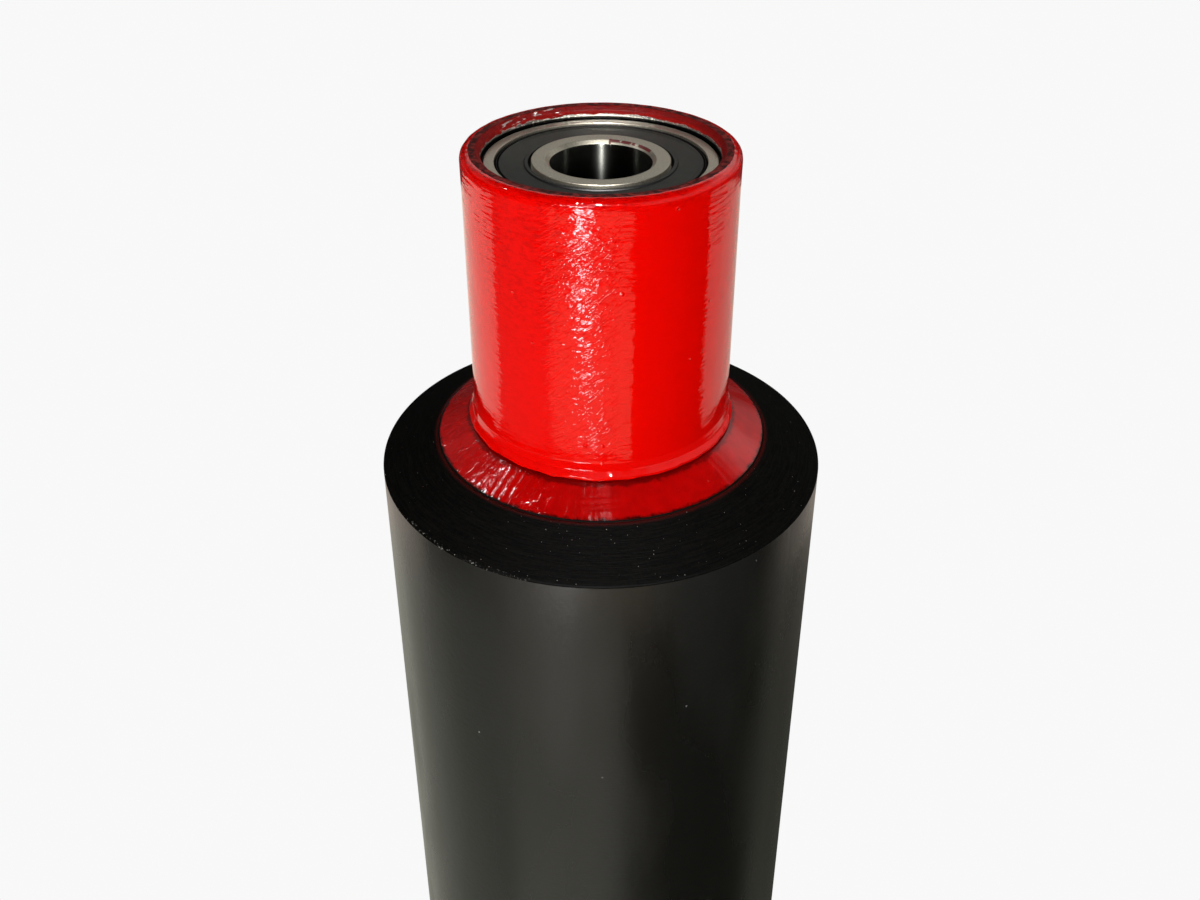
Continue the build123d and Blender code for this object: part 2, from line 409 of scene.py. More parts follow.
# %% Brush strokes
def build_brush_strokes():
    inputs = [("Stroke", VECTOR, None), ("Place", VECTOR, None), ("Patch size", FLOAT, 8.0),
              ("Cover", FLOAT, 0.5)]
    outputs = [("Ridges", FLOAT), ("Patches", FLOAT)]
    tree, entry, result = new_group("brush_strokes", inputs, outputs)
    ridges = noise_at(tree, entry["Stroke"], 1.0, detail=1.0)
    patch_scale = maths(tree, "DIVIDE", 1.0, entry["Patch size"])
    patches = noise_at(tree, entry["Place"], patch_scale, detail=2.0)
    low = maths(tree, "MULTIPLY_ADD", entry["Cover"], -0.35, 0.62)
    high = maths(tree, "ADD", low, 0.12)
    mask = ramp_between(tree, patches, low, high)
    tree.links.new(ridges, result.inputs["Ridges"])
    tree.links.new(mask, result.inputs["Patches"])


build_brush_strokes()
print("group: brush_strokes")

# %% [markdown]
# Dust, chips of rubber and pimples in paint are specks of mixed sizes. Voronoi cells
# give one possible speck each, and a random number per cell decides which stay.

# %% Specks
def build_specks():
    inputs = [("Place", VECTOR, None), ("Spacing", FLOAT, 1.0), ("Size", FLOAT, 0.15),
              ("Share", FLOAT, 0.1)]
    tree, entry, result = new_group("specks", inputs, [("Specks", FLOAT)])
    scale = maths(tree, "DIVIDE", 1.0, entry["Spacing"])
    cells = add_node(tree, "ShaderNodeTexVoronoi", {"Vector": entry["Place"], "Scale": scale})
    chance = add_node(tree, "ShaderNodeSeparateColor", {0: cells.outputs["Color"]}).outputs
    kept = maths(tree, "LESS_THAN", chance["Red"], entry["Share"])
    reach = times(tree, entry["Size"], maths(tree, "ADD", 0.35, chance["Green"]))
    inside = maths(tree, "SUBTRACT", reach, cells.outputs["Distance"])
    edge = maths(tree, "MULTIPLY", inside, 12.0, clamp=True)
    tree.links.new(times(tree, edge, kept), result.inputs["Specks"])


build_specks()
print("group: specks")

# %% [markdown]
# A grinding wheel or a lathe tool leaves rings of fine lines. Noise that changes
# fast across the lines and slowly along them gives such lines with no repeat.

# %% Tool marks
def build_tool_marks():
    inputs = [("Around", VECTOR, None), ("Across", FLOAT, 0.0), ("Line pitch", FLOAT, 0.1),
              ("Break-up", FLOAT, 1.0)]
    tree, entry, result = new_group("tool_marks", inputs, [("Lines", FLOAT)])
    along = vectors(tree, "SCALE", entry["Around"], scale=entry["Break-up"])
    across = maths(tree, "DIVIDE", entry["Across"], entry["Line pitch"])
    lift = add_node(tree, "ShaderNodeCombineXYZ", {"Z": across}).outputs[0]
    place = vectors(tree, "ADD", along, lift)
    tree.links.new(noise_at(tree, place, 1.0, roughness=0.7), result.inputs["Lines"])


build_tool_marks()
print("group: tool_marks")

# %% [markdown]
# Some marks sit on one side only, because that is where the painter's hand or the
# handling was. This group says how far a point lies from such a side, as a soft
# mask round a compass angle that is counted from the camera's side.

# %% One-sided mask
def build_side_mask():
    inputs = [("Around", VECTOR, None), ("Compass", FLOAT, 0.0), ("Half width", FLOAT, 20.0),
              ("Fade", FLOAT, 10.0)]
    tree, entry, result = new_group("side_mask", inputs, [("Mask", FLOAT)])
    turn = maths(tree, "RADIANS", entry["Compass"])
    ahead = times(tree, maths(tree, "COSINE", turn), -1.0)
    side = add_node(
        tree, "ShaderNodeCombineXYZ", {"X": maths(tree, "SINE", turn), "Y": ahead}
    ).outputs[0]
    match = vectors(tree, "DOT_PRODUCT", entry["Around"], side, output="Value")
    away = maths(tree, "DEGREES", maths(tree, "ARCCOSINE", match))
    outer = maths(tree, "ADD", entry["Half width"], entry["Fade"])
    mask = ramp_between(tree, away, entry["Half width"], outer, 1.0, 0.0)
    tree.links.new(mask, result.inputs["Mask"])


build_side_mask()
print("group: side_mask")

# %% Material helpers
def new_material(name, base, roughness, metallic=0.0):
    """A material with one Principled shader, whose constants sit on its sockets."""
    material = bpy.data.materials.new(name)
    material.use_nodes = True
    shader = material.node_tree.nodes["Principled BSDF"]
    shader.inputs["Base Color"].default_value = (*base, 1)
    shader.inputs["Roughness"].default_value = roughness
    shader.inputs["Metallic"].default_value = metallic
    return material, material.node_tree, shader


def squeezed(tree, place, around, up):
    """A place whose level and upright distances are scaled differently."""
    sockets = {"Vector": place, "Scale": (around, around, up)}
    return add_node(tree, "ShaderNodeMapping", sockets).outputs[0]


def side_mask(tree, turned, compass, half_width, fade):
    sockets = {"Around": turned["Around"], "Compass": compass}
    sockets.update({"Half width": half_width, "Fade": fade})
    return use_group(tree, "side_mask", sockets)["Mask"]


def specks(tree, place, spacing, size, share):
    sockets = {"Place": place, "Spacing": spacing, "Size": size, "Share": share}
    return use_group(tree, "specks", sockets)["Specks"]


def tool_marks(tree, turned, across, pitch, break_up):
    sockets = {"Around": turned["Around"], "Across": across}
    sockets.update({"Line pitch": pitch, "Break-up": break_up})
    return use_group(tree, "tool_marks", sockets)["Lines"]


def weighted_sum(tree, *pairs):
    """Adds sockets, each times its own weight."""
    total = 0.0
    for value, weight in pairs:
        total = maths(tree, "MULTIPLY_ADD", value, weight, total)
    return total


def set_bump(tree, shader, height, distance):
    """Feeds a height, in shares of a distance in metres, to the shader's normal."""
    bump = add_node(tree, "ShaderNodeBump", {"Height": height, "Distance": distance})
    tree.links.new(bump.outputs[0], shader.inputs["Normal"])


def depth_under_rim(tree, turned):
    """Depth under the nearer rim, in millimetres, so that both ends look alike."""
    middle = (roller_top + roller_foot) / 2 / MM
    half = (roller_top - roller_foot) / 2 / MM
    offset = maths(tree, "ABSOLUTE", maths(tree, "SUBTRACT", turned["Height"], middle))
    return maths(tree, "SUBTRACT", half, offset)


# %% [markdown]
# The neck's red enamel is a thick glossy coat brushed on by hand. Most of it is
# smooth and mirrors the studio in clear bands. On the side where the coat was
# worked again while it dried, a crinkle breaks the bright band into glints, and
# level ridges fray the edges of the other bands. Where it is thin it looks darker.

# %% Neck enamel
crinkle_side, crinkle_half_width = -9, 10
frayed_sides = ((14, 4), (50, 6), (-47, 4))
thin_side, thin_half_width = -34, 16
paint_relief = 0.25


def neck_enamel():
    material, tree, shader = new_material("neck_enamel", (0.72, 0.001, 0.0), 0.05)
    turned = use_group(tree, "turned_coordinates")
    place, depth = turned["Place"], depth_under_rim(tree, turned)
    near_rim = ramp_between(tree, depth, 0.5, 2.5, 1.0, 0.0)
    upper_part = times(tree, ramp_between(tree, depth, 2.0, 8.0, 0.5, 1.0),
                       ramp_between(tree, depth, 8.0, 20.0, 1.0, 0.5))
    crinkle_band = side_mask(tree, turned, crinkle_side, crinkle_half_width, 12)
    above_foot = ramp_between(tree, depth, foot_depth - 4.0, foot_depth - 2.5, 1.0, 0.15)
    crinkle_mask = times(tree, crinkle_band, upper_part)
    crinkle_mask = times(tree, crinkle_mask, above_foot)
    fold = noise_at(tree, squeezed(tree, place, 0.7, 1.0), 1.0, detail=3.0, roughness=0.5)
    slant = add_node(tree, "ShaderNodeMapping", {"Vector": place, "Rotation": (0, 0.7, 0)})
    slant = noise_at(tree, squeezed(tree, slant.outputs[0], 0.45, 2.0), 1.0, detail=1.0)
    slant = maths(tree, "ABSOLUTE", maths(tree, "SUBTRACT", slant, 0.5))
    slant = ramp_between(tree, slant, 0.0, 0.08, 1.0, 0.0)
    crinkle = weighted_sum(tree, (fold, 1.0), (slant, 0.14))
    crinkle = times(tree, crinkle, crinkle_mask)
    level_stroke = squeezed(tree, place, 0.35, 2.6)
    sockets = {"Stroke": level_stroke, "Place": place, "Patch size": 6.0, "Cover": 0.5}
    strokes = use_group(tree, "brush_strokes", sockets)
    frayed = 0.0
    for compass, half_width in frayed_sides:
        frayed = larger(tree, frayed, side_mask(tree, turned, compass, half_width, 5))
    ridge_mask = maths(tree, "MULTIPLY_ADD", strokes["Patches"], 0.25, 0.15)
    ridge_mask = larger(tree, ridge_mask, times(tree, frayed, 0.8))
    ridge_mask = larger(tree, ridge_mask, times(tree, near_rim, 0.5))
    ridges = times(tree, strokes["Ridges"], ridge_mask)
    ripple = noise_at(tree, place, 0.5, detail=2.0)
    pimples = specks(tree, place, 2.0, 0.12, 0.22)
    height = weighted_sum(
        tree, (crinkle, 0.75), (ridges, 0.20), (ripple, 0.12), (pimples, 0.25)
    )
    set_bump(tree, shader, height, paint_relief * MM)
    thin_part = ramp_between(tree, depth, 8.0, 26.0, 1.0, 0.2)
    thin = side_mask(tree, turned, thin_side, thin_half_width, 14)
    thin = times(tree, thin, thin_part)
    thin = larger(tree, maths(tree, "MULTIPLY_ADD", thin, 0.7, 0.08), near_rim)
    mottle = noise_at(tree, squeezed(tree, place, 1.0, 2.2), 1.0, detail=5.0, roughness=0.75)
    mottle = times(tree, ramp_between(tree, mottle, 0.40, 0.75), thin)
    full_coat, thin_coat = (0.72, 0.001, 0.0, 1), (0.42, 0.0, 0.0, 1)
    tree.links.new(mix_colours(tree, mottle, full_coat, thin_coat), shader.inputs["Base Color"])
    return material


enamel_on_neck = neck_enamel()
print("material:", enamel_on_neck.name)

# %% [markdown]
# Inside the mouth the enamel is thin and carelessly put on, and where the brush
# missed, the steel shows through. The inside wall is coloured dark as painted shade,
# the rim flat is tinted pink as a painted sheen, and the steel next to the bearing
# is painted near black as painted shade.

# %% Mouth enamel
def mouth_enamel():
    material, tree, shader = new_material("mouth_enamel", (0.25, 0.004, 0.003), 0.45)
    shader.inputs["Specular IOR Level"].default_value = 0.06
    turned = use_group(tree, "turned_coordinates")
    place, depth = turned["Place"], depth_under_rim(tree, turned)
    smear = noise_at(tree, squeezed(tree, place, 0.5, 1.6), 1.0, detail=4.0, roughness=0.65)
    streak = noise_at(tree, squeezed(tree, place, 0.7, 4.0), 1.0, detail=4.0)
    reach = maths(tree, "MULTIPLY_ADD", smear, 1.2, depth)
    bare = ramp_between(tree, reach, 1.55, 1.65)
    missed = times(tree, side_mask(tree, turned, -140, 14, 8),
                   ramp_between(tree, streak, 0.56, 0.63, 0.0, 0.7))
    bare = larger(tree, bare, missed)
    inside = ramp_between(tree, turned["Radius"], 14.5, 14.7, 1.0, 0.0)
    bare = times(tree, bare, inside)
    # Painted shade: the thin coat on the inside wall is coloured dark.
    thin_coat = mix_colours(tree, smear, (0.10, 0.001, 0.001, 1), (0.26, 0.003, 0.002, 1))
    blotch = ramp_between(tree, noise_at(tree, squeezed(tree, place, 1.2, 1.2), 1.0, detail=4.0),
                          0.42, 0.62)
    # Rim flat: a blotchy paint tone whose lighter end is tinted pink as a painted sheen.
    rim_coat_and_sheen = mix_colours(tree, blotch, (0.035, 0.004, 0.003, 1), (0.24, 0.024, 0.02, 1))
    coat = mix_colours(tree, inside, rim_coat_and_sheen, thin_coat)
    steel = mix_colours(tree, ramp_between(tree, streak, 0.4, 0.6), (0.30, 0.30, 0.30, 1),
                        (0.62, 0.61, 0.59, 1))
    # Painted shade: the bare steel turns near black next to the bearing.
    corner = ramp_between(tree, depth, 1.20, 1.30)
    steel = mix_colours(tree, corner, steel, (0.01, 0.01, 0.01, 1))
    tree.links.new(mix_colours(tree, bare, coat, steel), shader.inputs["Base Color"])
    tree.links.new(bare, shader.inputs["Metallic"])
    tree.links.new(ramp_between(tree, bare, 0.0, 1.0, 0.45, 0.25), shader.inputs["Roughness"])
    drag = noise_at(tree, turned["Around"], 45.0, detail=3.0, roughness=0.7)
    height = weighted_sum(tree, (drag, 0.8), (smear, 0.7), (bare, -0.3))
    set_bump(tree, shader, height, 0.16 * MM)
    return material


enamel_in_mouth = mouth_enamel()
print("material:", enamel_in_mouth.name)

# %% [markdown]
# The end cone took the same paint with a loaded brush. On one side it dried in
# folds that run outward and curl, and on the other it lies flat and mirrors the
# room. Close to the neck's foot, the crease is painted dark red as shade.

# %% Cone enamel
wrinkled_side, wrinkled_half_width = -62, 46
folds_around, folds_outward, curl_reach = 24.0, 0.34, 4.0


def cone_enamel():
    material, tree, shader = new_material("cone_enamel", (0.60, 0.001, 0.0005), 0.12)
    turned = use_group(tree, "turned_coordinates")
    place, radius = turned["Place"], turned["Radius"]
    curl = add_node(
        tree, "ShaderNodeTexNoise", {"Vector": place, "Scale": 0.3, "Detail": 1.0}
    ).outputs["Color"]
    curl = vectors(tree, "SUBTRACT", curl, (0.5, 0.5, 0.5))
    curl = vectors(tree, "SCALE", curl, scale=curl_reach)
    spokes = vectors(tree, "SCALE", turned["Around"], scale=folds_around)
    outward = times(tree, radius, folds_outward)
    lift = add_node(tree, "ShaderNodeCombineXYZ", {"Z": outward}).outputs[0]
    stroke = vectors(tree, "ADD", vectors(tree, "ADD", spokes, lift), curl)
    fold = noise_at(tree, stroke, 1.0, detail=1.5)
    line = maths(tree, "ABSOLUTE", maths(tree, "SUBTRACT", fold, 0.5))
    line = ramp_between(tree, line, 0.0, 0.04, 1.0, 0.0)
    fold = weighted_sum(tree, (fold, 0.4), (line, 0.22))
    wrinkled = side_mask(tree, turned, wrinkled_side, wrinkled_half_width, 16)
    patch = ramp_between(tree, noise_at(tree, place, 0.3), 0.42, 0.56, 0.12, 1.0)
    mask = maths(tree, "MULTIPLY_ADD", times(tree, wrinkled, patch), 0.95, 0.05)
    folds = times(tree, fold, mask)
    ripple = noise_at(tree, place, 0.6, detail=3.0)
    pimples = specks(tree, place, 1.8, 0.09, 0.2)
    height = weighted_sum(tree, (folds, 0.5), (ripple, 0.12), (pimples, 0.2))
    set_bump(tree, shader, height, paint_relief * MM)
    coat = mix_colours(tree, ripple, (0.30, 0.0, 0.0, 1), (0.58, 0.001, 0.0005, 1))
    ragged = maths(tree, "MULTIPLY_ADD", noise_at(tree, place, 1.2, detail=3.0), 0.9, radius)
    # Painted shade: the ring next to the neck's foot is coloured dark red.
    crease_shade = ramp_between(tree, ragged, 17.5, 18.0, 1.0, 0.0)
    coat = mix_colours(tree, crease_shade, coat, (0.16, 0.0, 0.0, 1))
    edge = ramp_between(tree, ragged, core_radius - 0.15, core_radius + 0.35)
    coat = mix_colours(tree, edge, coat, (0.05, 0.0, 0.0, 1))
    tree.links.new(coat, shader.inputs["Base Color"])
    return material


enamel_on_cone = cone_enamel()
print("material:", enamel_on_cone.name)

# %% [markdown]
# Roller rubber is ground on a lathe between centres. The face is left a smooth dark
# grey that still mirrors the floor softly. The ends keep rings of coarser lines,
# are quite dull, and pale dust from the stone clings to them. Where the red paint
# ran over the joint it left a thin brown edge. The colours are written darker than
# rubber is, because the studio's pale reflections add so much light to them.

# %% Ground rubber
def ground_rubber_face():
    material, tree, shader = new_material("ground_rubber_face", (0.004, 0.004, 0.003), 0.3)
    turned = use_group(tree, "turned_coordinates")
    place = turned["Place"]
    cloud = noise_at(tree, squeezed(tree, place, 0.10, 0.03), 1.0, detail=5.0)
    fine = noise_at(tree, place, 1.5, detail=4.0)
    shade = mix_colours(tree, cloud, (0.0022, 0.0022, 0.0016, 1), (0.006, 0.006, 0.0046, 1))
    dust = specks(tree, place, 2.6, 0.06, 0.08)
    shade = mix_colours(tree, dust, shade, (0.30, 0.29, 0.26, 1))
    tree.links.new(shade, shader.inputs["Base Color"])
    tree.links.new(ramp_between(tree, cloud, 0.3, 0.7, 0.25, 0.36), shader.inputs["Roughness"])
    lines = tool_marks(tree, turned, turned["Height"], 0.15, 9.0)
    height = weighted_sum(tree, (lines, 0.4), (fine, 0.6), (dust, 0.5))
    set_bump(tree, shader, height, 0.03 * MM)
    return material


def ground_rubber_end():
    material, tree, shader = new_material("ground_rubber_end", (0.004, 0.004, 0.003), 0.6)
    shader.inputs["Specular IOR Level"].default_value = 0.02
    turned = use_group(tree, "turned_coordinates")
    place, radius = turned["Place"], turned["Radius"]
    lines = tool_marks(tree, turned, radius, 0.16, 7.0)
    fine = noise_at(tree, place, 2.5, detail=4.0, roughness=0.7)
    grit = ramp_between(tree, weighted_sum(tree, (lines, 0.6), (fine, 0.4)), 0.38, 0.64)
    shade = mix_colours(tree, grit, (0.0002, 0.0002, 0.0001, 1), (0.0030, 0.0030, 0.0023, 1))
    ragged = maths(tree, "MULTIPLY_ADD", fine, 0.5, radius)
    bleed = ramp_between(tree, ragged, core_radius + 0.25, core_radius + 0.85, 1.0, 0.0)
    shade = mix_colours(tree, bleed, shade, (0.05, 0.004, 0.003, 1))
    front_right = side_mask(tree, turned, 22, 30, 50)
    share = maths(tree, "MULTIPLY_ADD", front_right, 0.36, 0.12)
    dust = specks(tree, place, 0.5, 0.10, share)
    worn = ramp_between(tree, radius, cover_radius - 0.45, cover_radius - 0.1)
    worn = times(tree, worn, ramp_between(tree, fine, 0.56, 0.70, 0.0, 0.8))
    worn = times(tree, worn, side_mask(tree, turned, -40, 12, 14))
    pale = larger(tree, dust, worn)
    shade = mix_colours(tree, pale, shade, (0.42, 0.41, 0.36, 1))
    tree.links.new(shade, shader.inputs["Base Color"])
    height = weighted_sum(tree, (lines, 1.0), (fine, 0.7), (dust, 0.5))
    set_bump(tree, shader, height, 0.05 * MM)
    return material


rubber_face = ground_rubber_face()
rubber_end = ground_rubber_end()
print("materials:", rubber_face.name, rubber_end.name)

# %% [markdown]
# The bearing's parts are bare steel: ground rings, a bore ground along its whole
# length, polished balls and a pressed cage. Light smears at a right angle to the
# grinding lines in the bore, which is what the anisotropy on that shader does. The
# bore's colour is written darker than steel is, and darker still with depth, which
# stands for shade. A little of the red paint has dried on the inner ring's chamfer.

# %% Steels
def ground_steel(name, light, dark, roughness, pitch, depth=0.004, splashed=False):
    """Bare steel with the fine rings that grinding leaves, perhaps splashed with paint."""
    material, tree, shader = new_material(name, light, roughness, metallic=1.0)
    turned = use_group(tree, "turned_coordinates")
    lines = tool_marks(tree, turned, turned["Radius"], pitch, 2.0)
    grain = noise_at(tree, turned["Place"], 5.0, detail=4.0, roughness=0.7)
    shade = mix_colours(tree, ramp_between(tree, grain, 0.3, 0.7), (*dark, 1), (*light, 1))
    if splashed:
        blots = noise_at(tree, turned["Place"], 1.1, detail=3.0)
        blots = maths(tree, "MULTIPLY_ADD", side_mask(tree, turned, 118, 5, 4), 0.12, blots)
        smear = maths(tree, "COMPARE", turned["Radius"], 6.38, 0.17)
        smear = times(tree, smear, side_mask(tree, turned, 142, 27, 3))
        smear = times(tree, smear, ramp_between(tree, blots, 0.43, 0.50))
        stroke = maths(tree, "COMPARE", turned["Radius"], 6.3, 0.4)
        stroke = times(tree, stroke, side_mask(tree, turned, 170, 0.8, 0.8))
        paint = larger(tree, smear, stroke)
        shade = mix_colours(tree, paint, shade, (0.10, 0.002, 0.002, 1))
        tree.links.new(maths(tree, "SUBTRACT", 1.0, paint), shader.inputs["Metallic"])
        spots = specks(tree, turned["Place"], 1.6, 0.10, 0.12)
        shade = mix_colours(tree, spots, shade, (0.03, 0.02, 0.02, 1))
    tree.links.new(shade, shader.inputs["Base Color"])
    set_bump(tree, shader, weighted_sum(tree, (lines, 1.0), (grain, 0.5)), depth * MM)
    return material


def ground_bore():
    material, tree, shader = new_material("bore_steel", (0.10, 0.10, 0.09), 0.21, metallic=1.0)
    shader.inputs["Anisotropic"].default_value = 1.0
    shader.inputs["Anisotropic Rotation"].default_value = 0.25
    tangent = add_node(tree, "ShaderNodeTangent", direction_type="RADIAL", axis="Z").outputs[0]
    tree.links.new(tangent, shader.inputs["Tangent"])
    turned = use_group(tree, "turned_coordinates")
    grain = noise_at(tree, turned["Place"], 3.0, detail=4.0)
    shade = mix_colours(tree, grain, (0.09, 0.09, 0.08, 1), (0.22, 0.22, 0.20, 1))
    deep = ramp_between(tree, depth_under_rim(tree, turned), ring_depth + 1.5, ring_depth + 5.0)
    shade = mix_colours(tree, deep, shade, (0.03, 0.03, 0.028, 1))
    tree.links.new(shade, shader.inputs["Base Color"])
    return material


ring_light, ring_dark = (0.50, 0.46, 0.37), (0.28, 0.26, 0.21)
ring_grinding = (ring_light, ring_dark, 0.36, 0.05)
steel_face = ground_steel("ring_steel", *ring_grinding)
steel_splashed = ground_steel("splashed_steel", *ring_grinding, splashed=True)
# Painted shade: a near-black steel for the outer ring's outer corners.
steel_corner_shade = ground_steel("corner_shade_steel", (0.02, 0.018, 0.016), (0.004, 0.004, 0.004), 0.5, 0.1)
steel_bore = ground_bore()
steel_ball = ground_steel(
    "ball_steel", (0.74, 0.74, 0.74), (0.70, 0.70, 0.70), 0.08, 0.5, depth=0.0005
)
steel_sheet = ground_steel("cage_sheet_steel", (0.55, 0.53, 0.50), (0.44, 0.42, 0.40), 0.35, 0.2)
steel_tube = ground_steel("drawn_tube_steel", (0.34, 0.33, 0.32), (0.22, 0.21, 0.20), 0.45, 0.3)
print("steels made, materials:", len(bpy.data.materials))

# %% Moulded seal rubber
def moulded_rubber():
    material, tree, shader = new_material("seal_rubber", (0.02, 0.022, 0.018), 0.45)
    shader.inputs["Specular IOR Level"].default_value = 0.2
    turned = use_group(tree, "turned_coordinates")
    grain = noise_at(tree, turned["Place"], 7.0, detail=3.0)
    cloud = noise_at(tree, turned["Place"], 0.7, detail=3.0)
    shade = mix_colours(tree, cloud, (0.010, 0.012, 0.009, 1), (0.030, 0.033, 0.026, 1))
    radius = turned["Radius"]
    # Painted shade: the channel, the bead's step, the lip's edge and its slope are coloured near
    # black.
    for low, high in ((11.86, 12.16), (12.28, 12.52), (8.90, 9.04), (8.15, 8.52)):
        groove_shade = maths(tree, "COMPARE", radius, (low + high) / 2, (high - low) / 2)
        shade = mix_colours(tree, groove_shade, shade, (0.002, 0.002, 0.002, 1))
    tree.links.new(shade, shader.inputs["Base Color"])
    set_bump(tree, shader, grain, 0.03 * MM)
    return material


seal_rubber = moulded_rubber()
print("material:", seal_rubber.name)

# %% [markdown]
# The narrowest places, the seal's channel and lip and the seam between cone and
# rubber, are painted black and quite dull as shade.

# %% Settled grime
crevice_shade, _, crevice_shade_shader = new_material("crevice_shade", (0.003, 0.002, 0.001), 0.7)
crevice_shade_shader.inputs["Specular IOR Level"].default_value = 0.02
print("material:", crevice_shade.name)

# %% [markdown]
# Each turned piece is a closed outline swept round the axis, as on the lathe. The
# outline is given by its corners, with a rounding for each, and it is divided
# finely where the finish needs real relief. A relief function may then move every
# point a little, in radius and in depth, before the faces are made.

# %% Outline of a turned piece
def rounded_outline(corners):
    """Corners (radius, depth, rounding, step) to a dense closed outline.

    step is the longest stretch without a point on the way to the next corner.
    """
    count = len(corners)
    ends = []
    for i, (radius, depth, rounding, _) in enumerate(corners):
        here = np.array((radius, depth))
        before = np.array(corners[i - 1][:2])
        after = np.array(corners[(i + 1) % count][:2])
        into = (before - here) / np.linalg.norm(before - here)
        out = (after - here) / np.linalg.norm(after - here)
        half_turn = math.acos(max(-1.0, min(1.0, float(into @ out)))) / 2
        if rounding <= 0 or math.tan(half_turn) > 1e3:
            ends.append([here])
            continue
        back = rounding / math.tan(half_turn)
        centre = here + (into + out) / np.linalg.norm(into + out) * rounding / math.sin(half_turn)
        first, last = here + into * back, here + out * back
        start = math.atan2(*(first - centre)[::-1])
        sweep = math.atan2(*(last - centre)[::-1]) - start
        sweep = (sweep + math.pi) % (2 * math.pi) - math.pi
        steps = max(3, round(abs(sweep) / math.radians(15)))
        angles = [start + sweep * k / steps for k in range(steps + 1)]
        ends.append([centre + rounding * np.array((math.cos(a), math.sin(a))) for a in angles])
    outline = []
    for i, arc in enumerate(ends):
        outline += arc
        gap = ends[(i + 1) % count][0] - arc[-1]
        pieces = math.ceil(np.linalg.norm(gap) / corners[i][3])
        outline += [arc[-1] + gap * k / pieces for k in range(1, pieces)]
    return np.array(outline)


def lowered(corners, depth):
    """The same corners, each deeper by a depth."""
    return [(radius, depth + drop, *rest) for radius, drop, *rest in corners]


# %% Turning the outline
def turn(name, corners, end, segments, materials, relief=None, faces_of=None):
    """A mesh swept round the axis, with depths under the upper rim, or under the lower rim when
    end is lower.
    """
    outline = rounded_outline(corners)
    rings = len(outline)
    turns = np.linspace(0, 2 * math.pi, segments, endpoint=False)
    angle, radius = np.meshgrid(turns, outline[:, 0])
    depth = np.repeat(outline[:, 1:2], segments, axis=1)
    if relief:
        radius, depth = relief(angle, radius, depth)
    rim, outward = (roller_foot, -1) if end == "lower" else (roller_top, 1)
    height = rim - outward * depth * MM
    points = np.stack((radius * np.cos(angle) * MM, radius * np.sin(angle) * MM, height), axis=-1)
    ring = np.arange(rings)[:, None]
    column = np.arange(segments)[None, :]
    next_ring, next_column = (ring + 1) % rings, (column + 1) % segments
    quads = np.stack(
        np.broadcast_arrays(
            ring * segments + column,
            ring * segments + next_column,
            next_ring * segments + next_column,
            next_ring * segments + column,
        ),
        axis=-1,
    ).reshape(-1, 4)
    mesh = bpy.data.meshes.new(name)
    mesh.from_pydata(points.reshape(-1, 3).tolist(), [], quads.tolist())
    for material in materials:
        mesh.materials.append(material)
    if faces_of:
        middle_radius = (outline[:, 0] + np.roll(outline[:, 0], -1)) / 2
        middle_depth = (outline[:, 1] + np.roll(outline[:, 1], -1)) / 2
        index = np.array([faces_of(r, d) for r, d in zip(middle_radius, middle_depth)])
        mesh.polygons.foreach_set("material_index", np.repeat(index, segments))
    face_outward(mesh)
    mesh.polygons.foreach_set("use_smooth", np.ones(len(mesh.polygons), bool))
    piece = bpy.data.objects.new(name, mesh)
    bpy.context.scene.collection.objects.link(piece)
    print(name, len(mesh.polygons), "faces")
    return piece


def face_outward(mesh):
    """Turns the faces over if the closed mesh is inside out."""
    mesh.calc_loop_triangles()
    place = np.array([v.co for v in mesh.vertices])
    corner = np.array([t.vertices for t in mesh.loop_triangles])
    a, b, c = place[corner[:, 0]], place[corner[:, 1]], place[corner[:, 2]]
    if np.einsum("ij,ij->i", a, np.cross(b, c)).sum() < 0:
        mesh.flip_normals()


def finish_piece(piece, body, slot, *nodes):
    """The piece rides on its body and stands for its nodes, which are hidden. slot is not used."""
    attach(piece, body)
    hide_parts(*nodes)
    return piece


# %% [markdown]
# Hand-finished metal is never quite true. Waves of many lengths, added up with
# chosen random phases, move a surface by some hundredths of a millimetre, and that
# is enough to make the edges of a reflection wander as they do on the real roller.

# %% Uneven surfaces
def uneven(angle, depth, seed, around, along, count=40):
    """Seamless random waves, about -1 to 1: up to around a turn and along a millimetre."""
    dice = np.random.default_rng(seed)
    total = np.zeros_like(angle)
    for _ in range(count):
        turns = dice.integers(-around, around + 1)
        rate = dice.uniform(-along, along) * 2 * math.pi
        total += np.sin(turns * angle + rate * depth + dice.uniform(0, 2 * math.pi))
    return total / math.sqrt(count)


def soft_step(value, low, high):
    """0 below low, 1 above high and smooth between."""
    share = np.clip((value - low) / (high - low), 0, 1)
    return share * share * (3 - 2 * share)


sample = uneven(np.linspace(0, 6, 500), np.linspace(0, 40, 500), 1, 20, 0.2)
print("unevenness spreads by", round(float(sample.std()), 2))

# %% [markdown]
# The neck sleeve is turned from bar: a bearing seat in its mouth, a rim that the
# paint has rounded, and a foot that flares out to a thin lip. The lip stands a
# little clear of the cone, and that gap is the dark uneven line round its foot.

# %% Neck sleeves
seat_radius = 14.02
passage_radius = 12.1
spigot_radius = 14.4
spigot_length = 12.0
rim_flat_outer = 15.45

